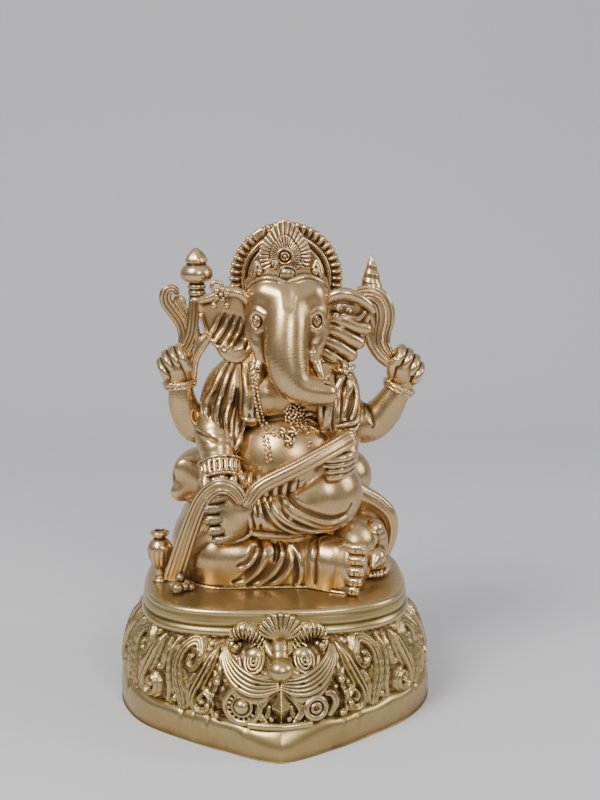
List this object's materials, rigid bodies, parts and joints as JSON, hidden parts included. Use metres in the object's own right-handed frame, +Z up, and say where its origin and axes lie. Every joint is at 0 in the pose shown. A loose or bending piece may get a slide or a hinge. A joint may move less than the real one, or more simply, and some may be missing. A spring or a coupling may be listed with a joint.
{
  "type": "ganesha idol",
  "caption": "Seated elephant-headed household idol with a halo, holding a long scroll across its lap, on an oval base carved with scroll leaves and a mask.",
  "frame": {"origin": "centre of the foot of the base, on its underside", "axes": "+Z up, the figure faces -Y, +X is the viewer's right"},
  "size_m": [0.1578, 0.1616, 0.2394],
  "materials": {
    "body_gold": "champagne-gold, satin metallic gold paint with a dark wash in the recesses, over cast resin",
    "base_gold": "slightly yellower gold, satin metallic gold paint with a dark wash in the recesses, over cast resin",
    "worn_gold": "gold rubbed greyish on high points, satin metallic gold paint with a dark wash in the recesses, over cast resin",
    "dark_gold": "deep ground of the carved band, dark brown wash over gold paint on cast resin"
  },
  "bodies": {
    "root": {"base_rim": "base_gold", "carved_band": "dark_gold", "top_disc": "base_gold", "leaf_scrolls": "base_gold", "shell_crest": "base_gold", "mask_brows": "base_gold", "mask_eyes": "base_gold", "mask_nose": "base_gold", "mask_cheeks": "base_gold", "mask_drop": "base_gold", "base_rosettes": "worn_gold", "seat_cushion": "body_gold", "back_bolster": "body_gold", "side_drape": "body_gold", "mouse": "body_gold", "small_pot": "body_gold", "sweet_balls": "worn_gold", "torso": "body_gold", "hip_cloth": "body_gold", "folded_leg": "body_gold", "folded_foot": "body_gold", "folded_foot_toes": "worn_gold", "raised_leg": "body_gold", "raised_foot": "body_gold", "raised_foot_toes": "worn_gold", "left_back_arm": "body_gold", "right_back_arm": "body_gold", "left_back_hand": "body_gold", "right_back_hand": "body_gold", "left_bangle": "body_gold", "right_bangle": "body_gold", "left_front_arm": "body_gold", "left_front_hand": "body_gold", "left_bracelet": "body_gold", "right_front_hand": "body_gold", "left_shawl": "body_gold", "right_shawl": "body_gold", "shawl_knot": "body_gold", "bead_chain": "body_gold", "flower_pendant": "body_gold", "head": "body_gold", "trunk": "body_gold", "face_eyes": "body_gold", "tusk": "body_gold", "broken_tusk": "body_gold", "left_ear": "body_gold", "right_ear": "body_gold", "ear_flowers": "body_gold", "crown_band": "body_gold", "crown_fan": "body_gold", "crown_jewel": "worn_gold", "halo": "body_gold", "left_scarf": "body_gold", "left_staff": "body_gold", "staff_pot": "body_gold", "right_scarf": "body_gold", "cone_finial": "body_gold", "ear_struts": "body_gold", "palm_scroll": "body_gold"}
  },
  "joints": []
}
